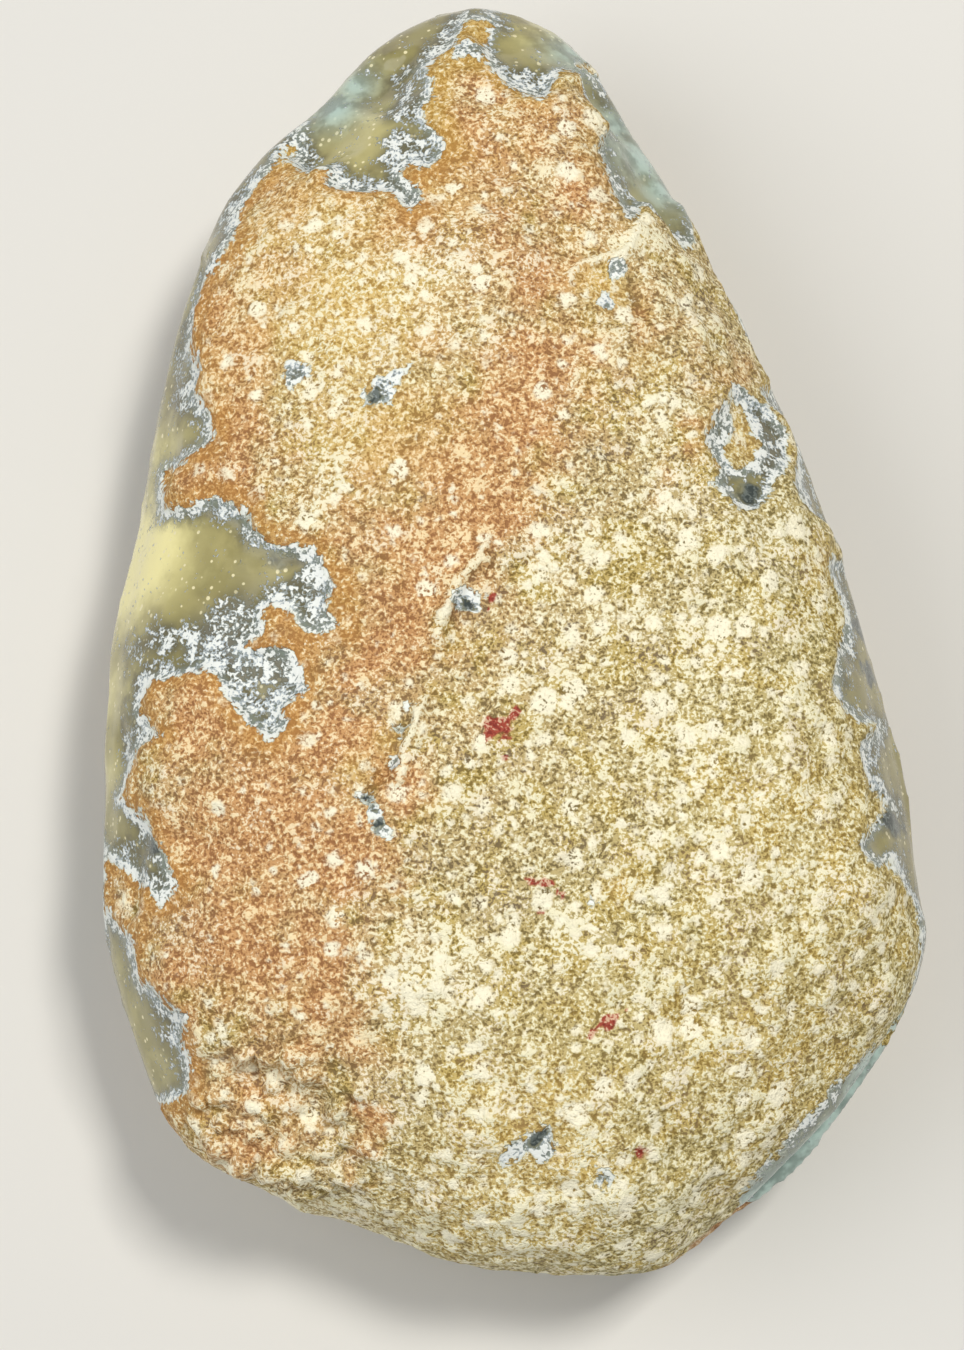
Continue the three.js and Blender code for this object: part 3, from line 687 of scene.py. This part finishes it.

# %% [markdown]
# ## Hand the measurements to the material
# A material can't know where a window or a stain is. So each of those values is kept on the skin's points
# as an attribute, and the nodes further down read it by its name. Four more are measured first: the
# places at the rim that get a painted glow and highlight, where light would get into the chalcedony,
# those that are frosted throughout, the dark clear ones in the frost, and those that are a pale
# blue-green, as on the shelf at the lower right, with a painted highlight of that colour at the upper left
# beside the tip. The first three fade with the depth below the rim.

# %% Glow, frost and pale blue-green
# Painted glow and highlight: places on the rim where light getting through the chalcedony is painted into its
# colour, as pale yellow.
PAINTED_GLOW = [
    # x, y, radius, strength
    (-14, 47, 7, 0.4), (-38, 5.5, 7, 1.3), (-38, 0, 4, 0.6), (-39, -8, 3.5, 0.5), (-39, -16, 3, 0.4),
    (-35, 16, 4, 0.5), (-20, 56, 5, 0.5), (2, 61, 6, 0.4), (-39, -26, 3, 0.4),
]
FROST = [
    (-19, 0, 6.5, 1.1), (-23, -9, 6, 1.1), (-28, -5, 5, 1), (-34, -4, 3.5, 0.8), (-21, 2, 4, 1),
    (-9, 43, 4, 1), (-9, 50, 3.5, 1), (0, 53, 3, 0.8), (22, 14, 8, 1), (33, -8, 4, 0.4),
    (35, -20, 4, 0.3), (-32, -26, 5, 1), (-31, -41, 4, 0.6), (-30, 29, 6, 0.3),
]
DARK = [
    (22.3, 9.4, 1.7, 1), (25.6, 14.6, 1.3, 0.7), (24.4, 18.4, 1, 0.6), (36, -21, 1.6, 0.8),
    (34.5, -6, 1.4, 0.8), (-33.4, -24, 1.8, 0.9), (-22, 2.6, 1.8, 0.7), (-22.6, -10.4, 1.4, 0.6),
    (-31, -38, 1.8, 0.8), (34, -1.5, 1.2, 0.8), (-10.5, -13.2, 0.6, 1), (-13.4, -20.6, 0.7, 1),
    (-12.5, -22.6, 0.5, 0.9), (1.9, -50.8, 0.8, 1), (-4.5, -2.1, 0.6, 0.6), (-13.4, 18.2, 0.6, 0.8),
]
# The first two blots, at the upper left beside the tip, are a painted blue-green highlight. The others and
# the shelf are blue-green chalcedony.
MINT_AND_HIGHLIGHT = [
    (-17.8, 51.3, 3, 1.0), (-16, 54, 2.4, 0.9), (13, 46.5, 4, 1.0), (15.5, 43.5, 3.4, 1.0),
    (10.5, 50, 2.5, 0.9), (6, 57.5, 3, 0.9),
]
SHELF_HEIGHT_MM = 15

below_rim_mm = np.clip(RIM_HEIGHT_MM + 1 - points[:, 2], 0, 30) + 1.5 * sway[:, 0] * flank
painted_glow = blots(points, PAINTED_GLOW, below_rim_mm)
frost = blots(wandering, FROST, below_rim_mm) - 2 * blots(close, DARK, below_rim_mm)
shelf_mm = distance_in_plan(points[:, :2], WINDOWS["low_shelf"])
from_shelf = np.abs(points[:, 2] - SHELF_HEIGHT_MM)
on_shelf = smoothstep(-5, -2, shelf_mm) * smoothstep(11, 7, from_shelf)
mint_and_highlight = np.maximum(blots(points, MINT_AND_HIGHLIGHT), on_shelf)
# The lines' paleness goes into the cream here: pale lips, and painted shade where it is below zero.
cream += 0.03 * lower_right * on_face + 0.6 * np.clip(knobs, 0, 1) - 0.15 * knobbly + pale_lips_and_crack_shade
print("share that glows or is blue-green:", round(float((np.maximum(painted_glow, mint_and_highlight) > 0.5).mean()), 3))

# %% [markdown]
# ## Keep the values on the skin
# Each value becomes an attribute: one number for each point. Shading is then set to smooth, so the
# render shows the grain and not the faces.

# %% Keep what the material needs on the skin
measured = {
    "window_mm": window, "beside_mm": beside_mm, "rust": rust, "cream": cream,
    "dots": np.maximum(dots, pale_lips_and_crack_shade), "red": red, "painted_glow": painted_glow, "frost": frost, "mint_and_highlight": mint_and_highlight,
    "yellow": yellow,
}
for name, values in measured.items():
    attribute = stone.data.attributes.new(name, "FLOAT", "POINT")
    attribute.data.foreach_set("value", values.astype(np.float32))
select_only(stone)
bpy.ops.object.shade_smooth()
print("attributes:", [a.name for a in stone.data.attributes if a.data_type == "FLOAT"])

# %% [markdown]
# ## The material: rind over chalcedony
# One material covers the stone, because the rind and the chalcedony meet along edges finer than any
# mesh. The distance to the edge comes from the skin, fine noise makes that edge ragged, and the two
# finishes are mixed by it: the rind dull and rough, the chalcedony waxy to glassy.

# %% A helper for nodes
def add_node(tree, kind, settings=None, **links):
    """Adds a node, sets its properties, and fills or links its inputs, by name or, as n0, by number."""
    node = tree.nodes.new(kind)
    for key, value in (settings or {}).items():
        setattr(node, key, value)
    for key, value in links.items():
        name = key.replace("_", " ")
        socket = node.inputs[int(key[1:])] if key[0] == "n" and key[1:].isdigit() else node.inputs[name]
        if isinstance(value, bpy.types.NodeSocket):
            tree.links.new(value, socket)
        else:
            socket.default_value = value
    return node


agate = bpy.data.materials.new("weathered_agate")
agate.use_nodes = True
tree = agate.node_tree
tree.nodes.clear()
output = add_node(tree, "ShaderNodeOutputMaterial")
place = add_node(tree, "ShaderNodeTexCoord").outputs["Object"]
print("material started:", agate.name)

# %% [markdown]
# ### Short names for common nodes
# The material has over 200 nodes, which read more easily as sums than as boxes and wires. Each of these
# functions adds a node or two and hands back its output, which the next one takes as its input.

# %% Short names for common nodes
def per_mm(size_mm):
    """A texture's scale for a pattern that repeats every size_mm millimetres."""
    return 1000 / size_mm


def maths(operation, a, b=0.0, clamp=False):
    """One sum on two values or sockets, such as ADD or MULTIPLY."""
    node = add_node(tree, "ShaderNodeMath", {"operation": operation, "use_clamp": clamp}, n0=a, n1=b)
    return node.outputs[0]


def between(low, high, value):
    """0 below low, 1 above high, and a smooth ramp between."""
    node = add_node(tree, "ShaderNodeMapRange", {"interpolation_type": "SMOOTHSTEP"},
                    Value=value, From_Min=low, From_Max=high)
    return node.outputs[0]


def blend(share, a, b):
    """Colour a where share is 0 and b where it is 1. A Mix node has its colours at inputs 6 and 7."""
    node = add_node(tree, "ShaderNodeMix", {"data_type": "RGBA"})
    for index, value in ((0, share), (6, a), (7, b)):
        if isinstance(value, bpy.types.NodeSocket):
            tree.links.new(value, node.inputs[index])
        else:
            node.inputs[index].default_value = value
    return node.outputs[2]


def kept(name):
    """The value that the skin keeps by this name."""
    return add_node(tree, "ShaderNodeAttribute", {"attribute_name": name}).outputs["Fac"]


def grain(size_mm, detail=2.0, roughness=0.5, distortion=0.0):
    """Noise about 0.5 that repeats every size_mm millimetres."""
    node = add_node(tree, "ShaderNodeTexNoise", Vector=place, Scale=per_mm(size_mm), Detail=detail,
                    Roughness=roughness, Distortion=distortion)
    return node.outputs["Fac"]


print("scale of a pattern that repeats every millimetre:", per_mm(1))

# %% [markdown]
# ### Patterns
# The grain of the rind is squiggles and dots 0.3 to 0.6 mm wide, so its noise repeats about every half
# millimetre. Coarser noise shifts the colours every few millimetres, as growth and staining do.

# %% The patterns that both finishes use
fine = grain(0.60, 2.0, 0.55, 0.8)
finer = grain(0.32, 1.0, 0.5, 0.3)
squiggly = grain(0.95, 1.0, 0.5, 1.5)
middling = grain(2.4, 3.0, 0.55)
broad = grain(9.0, 3.0, 0.55)
window_mm = kept("window_mm")


def around_zero(pattern, height):
    """Noise, which lies between 0 and 1, moved to lie evenly about zero and scaled."""
    return maths("MULTIPLY", maths("SUBTRACT", pattern, 0.5), height)


edge = maths("ADD", window_mm, maths("ADD", around_zero(middling, 2.0), around_zero(fine, 1.4)))
is_window = between(-0.08, 0.12, edge)
print("nodes so far:", len(tree.nodes))

# %% [markdown]
# ### Stains on the rind
# These masks say how rusty, orange, yellow, grey or red a place is. Rust is where iron has soaked in,
# and orange runs beside many of the windows, most of all on the left. Noise breaks each of them up.

# %% Stains on the rind
# Blue-green chalcedony, and the painted blue-green highlight at the upper left beside the tip.
mint_and_highlight_amount = kept("mint_and_highlight")
rusty = between(0.15, 0.90, maths("ADD", kept("rust"), around_zero(middling, 0.8)))
along_axes = add_node(tree, "ShaderNodeSeparateXYZ", Vector=place)
left_side = between(0.012, -0.006, along_axes.outputs["X"])
near_tip = between(0.040, 0.048, along_axes.outputs["Y"])
to_lower_right = maths("SUBTRACT", along_axes.outputs["X"], maths("MULTIPLY", along_axes.outputs["Y"], 0.5))
olive_side = between(-0.005, 0.035, to_lower_right)
beside = maths("ADD", kept("beside_mm"), around_zero(middling, 2.0))
beside = between(-2.6, -0.4, maths("ADD", beside, around_zero(broad, 6.0)))
beside = maths("MULTIPLY", beside, maths("SUBTRACT", 0.75, mint_and_highlight_amount, True))
beside = maths("MULTIPLY", beside, maths("ADD", 0.35, maths("MULTIPLY", left_side, 0.65)))
yellowish = between(0.46, 0.62, grain(4.0, 3.0, 0.6))
golden = maths("MULTIPLY", kept("yellow"), 0.8)
greyish = between(0.50, 0.64, grain(4.5, 3.0, 0.6))
reddened = between(0.34, 0.62, maths("ADD", kept("red"), around_zero(middling, 1.6)))
reddened = maths("MULTIPLY", reddened, between(0.1, 0.3, kept("red")))
print("nodes so far:", len(tree.nodes))

# %% [markdown]
# ### The tones of the rind
# Three tones make the speckle: the crevice, the common ground and the cream of the dots. Each starts as
# ochre, the first two more olive towards the lower right, and is then turned by the masks above, one
# after the other, so no two places are quite alike.

# %% The tones of the rind
crevice = blend(olive_side, linear("7F683C"), linear("756A38"))
crevice = blend(maths("MULTIPLY", yellowish, 0.9), crevice, linear("836D28"))
crevice = blend(maths("MULTIPLY", greyish, 0.6), crevice, linear("7B6954"))
crevice = blend(rusty, crevice, linear("9C693A"))
crevice = blend(golden, crevice, linear("BC9244"))
crevice_beside = blend(near_tip, blend(left_side, linear("97803F"), linear("B8813A")), linear("BE9138"))
crevice = blend(beside, crevice, crevice_beside)
crevice = blend(reddened, crevice, linear("872A1C"))
ground = blend(olive_side, linear("C6AC76"), linear("BFB076"))
ground = blend(maths("MULTIPLY", yellowish, 0.8), ground, linear("C6AD5E"))
ground = blend(rusty, ground, linear("D09C63"))
ground = blend(golden, ground, linear("E4C478"))
ground_beside = blend(near_tip, blend(left_side, linear("C4AC68"), linear("D2A058")), linear("DBB768"))
ground = blend(beside, ground, ground_beside)
ground = blend(reddened, ground, linear("A8452F"))
pale = blend(rusty, linear("F7EFC8"), linear("FADFAC"))
pale = blend(maths("MULTIPLY", greyish, 0.5), pale, linear("F6E6CE"))
pale = blend(maths("MULTIPLY", kept("cream"), 0.6), pale, linear("FFF9DC"))
pale = blend(maths("MULTIPLY", reddened, 0.6), pale, linear("C9785A"))
print("nodes so far:", len(tree.nodes))

# %% [markdown]
# ### White spots
# The largest balls of the rind show as white spots with ragged edges. A cellular texture puts one point
# in each of its cells and gives each cell a colour of its own, so that colour can say how large the spot
# there is. Two sizes of cell give the few large spots and the many small ones.

# %% White spots
RAGGEDNESS_MM = 1.3
ragged = add_node(tree, "ShaderNodeTexNoise", Vector=place, Scale=per_mm(0.9), Detail=2.0)
shift = add_node(tree, "ShaderNodeVectorMath", {"operation": "SUBTRACT"},
                 n0=ragged.outputs["Color"], n1=(0.5, 0.5, 0.5))
shift = add_node(tree, "ShaderNodeVectorMath", {"operation": "SCALE"},
                 n0=shift.outputs[0], Scale=RAGGEDNESS_MM * MM)
ragged = add_node(tree, "ShaderNodeVectorMath", {"operation": "ADD"}, n0=place, n1=shift.outputs[0])
ragged_place = ragged.outputs[0]


def white_spots(cell_mm, smallest_mm, largest_mm):
    """How white a place is from spots at random, with their radius anywhere between the two sizes."""
    cells = add_node(tree, "ShaderNodeTexVoronoi", Vector=ragged_place, Scale=per_mm(cell_mm))
    luck = add_node(tree, "ShaderNodeSeparateColor", Color=cells.outputs["Color"]).outputs[0]
    radius = maths("ADD", maths("MULTIPLY", luck, largest_mm - smallest_mm), smallest_mm)
    radius = maths("ADD", radius, maths("MULTIPLY", maths("SUBTRACT", kept("cream"), rusty), 0.2))
    beyond = maths("SUBTRACT", maths("MULTIPLY", cells.outputs["Distance"], cell_mm), radius)
    return between(0.28, -0.22, beyond)


large_spots = white_spots(cell_mm=2.7, smallest_mm=-0.55, largest_mm=1.2)
small_spots = white_spots(cell_mm=1.4, smallest_mm=-0.3, largest_mm=0.55)
spots = maths("MAXIMUM", large_spots, small_spots)
print("nodes so far:", len(tree.nodes))

# %% [markdown]
# ### The speckle of the rind
# Fine noise chooses between the three tones: low is crevice, middling is ground, high is cream. What
# lifts that noise, such as a dot or a cream patch, makes a place paler, and what drops it makes it darker.
# The white spots go on last.

# %% The speckle of the rind
CREVICE_TO_GROUND = (0.42, 0.50)
GROUND_TO_PALE = (0.535, 0.615)
squiggle = between(0.05, 0.0, maths("ABSOLUTE", maths("SUBTRACT", squiggly, 0.5)))
dot_lift = maths("MULTIPLY", between(0.0, 1.0, maths("ADD", kept("dots"), around_zero(finer, 0.8))), 0.10)
cluster_lift = maths("MULTIPLY", between(0.50, 0.66, grain(1.6, 2.0, 0.5)), 0.03)
cream_lift = maths("ADD", maths("MULTIPLY", kept("cream"), 0.07), cluster_lift)
rust_drop = maths("ADD", maths("MULTIPLY", beside, 0.05), maths("MULTIPLY", rusty, 0.01))
lift = maths("SUBTRACT", maths("ADD", dot_lift, cream_lift), rust_drop)
lift = maths("ADD", lift, around_zero(middling, 0.08))
lift = maths("ADD", lift, maths("MULTIPLY", squiggle, 0.05))
speckle = maths("ADD", maths("ADD", maths("MULTIPLY", fine, 0.55), maths("MULTIPLY", finer, 0.45)), lift)
rind_colour = blend(between(*CREVICE_TO_GROUND, speckle), crevice, ground)
rind_colour = blend(between(*GROUND_TO_PALE, speckle), rind_colour, pale)
whiteness = maths("MULTIPLY", spots, between(0.36, 0.52, speckle))
whiteness = maths("MULTIPLY", whiteness, maths("SUBTRACT", 1.0, beside, True))
rind_colour = blend(whiteness, rind_colour, linear("FFF7D8"))
print("nodes so far:", len(tree.nodes))

# %% [markdown]
# ### Clear chalcedony
# Deep in a window the chalcedony is a clear olive, with small cream specks, and it is blue-green at the
# tip and on the shelf. A pale yellow glow and highlight is painted on where light would get through at
# the rim, and a blue-green highlight is painted at the upper left beside the tip.

# %% Clear chalcedony
clear = blend(between(0.36, 0.66, broad), linear("80764A"), linear("B0A66E"))
clear = blend(between(0.40, 0.62, middling), clear, linear("99905C"))
# Painted glow and highlight, pale yellow, where light would get through at the rim.
painted_glow_share = between(0.1, 0.9, maths("ADD", kept("painted_glow"), around_zero(middling, 0.6)))
clear = blend(painted_glow_share, clear, linear("F6EBA6"))
speck = add_node(tree, "ShaderNodeTexVoronoi", Vector=place, Scale=per_mm(0.9), Randomness=1.0)
speck_size = maths("MULTIPLY", between(0.34, 0.60, grain(1.7, 2.0, 0.5)), 0.24)
speck_gap = maths("SUBTRACT", speck.outputs["Distance"], speck_size)
clear = blend(between(0.05, -0.05, speck_gap), clear, linear("EFE4B4"))
# The chalcedony's blue-green, which is also the colour of the painted highlight at the upper left beside the
# tip.
mint_colour = blend(between(0.40, 0.60, middling), linear("8E9E94"), linear("BACFC4"))
clear = blend(mint_and_highlight_amount, clear, mint_colour)
print("nodes so far:", len(tree.nodes))

# %% [markdown]
# ### Frosted chalcedony
# Towards the rind's edge the chalcedony is frosted with white and blue-grey specks, as ground glass is,
# and in a few patches it is frosted throughout. Small dark glassy spots break the frost, and a thin pale
# line runs along the edge itself. The specks are chosen by noise, as the rind's are.

# %% Frosted chalcedony
BARE_TO_MIDDLE = (0.43, 0.51)
MIDDLE_TO_WHITE = (0.50, 0.58)
frost_band = between(3.2, 0.5, maths("ADD", edge, around_zero(broad, 5.0)))
glassy = between(-0.2, -1.0, maths("ADD", kept("frost"), around_zero(middling, 1.0)))
clear = blend(glassy, clear, blend(between(0.44, 0.58, fine), linear("3F4642"), linear("6B726C")))
frosted = maths("MAXIMUM", frost_band, between(0.15, 0.8, kept("frost")))
frosted = maths("MULTIPLY", frosted, maths("SUBTRACT", 1.0, glassy, True))
frosted = maths("MULTIPLY", frosted, maths("SUBTRACT", 1.0, mint_and_highlight_amount, True))
frost_speckle = maths("ADD", maths("MULTIPLY", fine, 0.55), maths("MULTIPLY", finer, 0.45))
frost_level = maths("ADD", frost_speckle, around_zero(grain(1.5, 2.0, 0.5), 0.5))
frost_level = maths("ADD", frost_level, maths("MULTIPLY", maths("SUBTRACT", frosted, 1.0), 0.20))
frost_level = maths("ADD", frost_level, maths("MULTIPLY", between(1.3, 0.2, edge), 0.05))
frost_base = blend(between(0.3, 1.5, window_mm), linear("7F8C88"), linear("585648"))
frost_middle = blend(between(0.42, 0.58, grain(3.0, 2.0, 0.5)), linear("8D948D"), linear("B2BCC0"))
window_colour = blend(maths("MULTIPLY", frosted, 0.8), clear, frost_base)
window_colour = blend(between(*BARE_TO_MIDDLE, frost_level), window_colour, frost_middle)
window_colour = blend(between(*MIDDLE_TO_WHITE, frost_level), window_colour, linear("F1F3EC"))
frost_share = between(0.42, 0.54, frost_level)
halo = maths("MULTIPLY", between(0.45, 0.05, edge), between(0.40, 0.52, fine))
window_colour = blend(maths("MULTIPLY", halo, 0.8), window_colour, linear("E6EAD8"))
print("nodes so far:", len(tree.nodes))

# %% [markdown]
# ### Gloss and fine bump
# Rind is dull and chalcedony shines, most where it is clear. The speckle is also what stands out of the
# rind, by about a tenth of a millimetre, so the same pattern drives the bump.

# %% Put the finish together
RIND_ROUGHNESS = 0.78
CLEAR_ROUGHNESS = 0.16
BUMP_STRENGTH = 0.8
BUMP_DEPTH_M = 0.0005
CHALCEDONY_IOR = 1.54

colour = blend(is_window, rind_colour, window_colour)
window_gloss = maths("ADD", CLEAR_ROUGHNESS, maths("MULTIPLY", frost_share, 0.30))
roughness = add_node(tree, "ShaderNodeMix", {"data_type": "FLOAT"},
                     n0=is_window, n2=RIND_ROUGHNESS, n3=window_gloss).outputs[0]
rind_relief = maths("ADD", maths("MULTIPLY", speckle, 0.9), maths("MULTIPLY", middling, 0.5))
window_relief = maths("ADD", maths("MULTIPLY", maths("MULTIPLY", frost_speckle, frost_share), 0.35), 0.15)
relief = add_node(tree, "ShaderNodeMix", {"data_type": "FLOAT"},
                  n0=is_window, n2=rind_relief, n3=window_relief).outputs[0]
bump = add_node(tree, "ShaderNodeBump", Strength=BUMP_STRENGTH, Distance=BUMP_DEPTH_M, Height=relief)
surface = add_node(tree, "ShaderNodeBsdfPrincipled", Base_Color=colour, Roughness=roughness,
                   Normal=bump.outputs[0], IOR=CHALCEDONY_IOR)
tree.links.new(surface.outputs[0], output.inputs["Surface"])
stone.data.materials.clear()
stone.data.materials.append(agate)
print("nodes in the material:", len(tree.nodes))

# %% [markdown]
# ### The floor's paper
# The floor is plain pale matt paper, so nothing beside the stone draws the eye or colours it.

# %% Paint the floor
paper = bpy.data.materials.new("pale_paper")
paper.use_nodes = True
paper.node_tree.nodes["Principled BSDF"].inputs["Base Color"].default_value = linear("E4E1DA")
paper.node_tree.nodes["Principled BSDF"].inputs["Roughness"].default_value = 0.9
floor.data.materials.append(paper)
print("floor material:", paper.name)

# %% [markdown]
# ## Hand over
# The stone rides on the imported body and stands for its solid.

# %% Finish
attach(stone, "root")
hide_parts("agate_nodule")
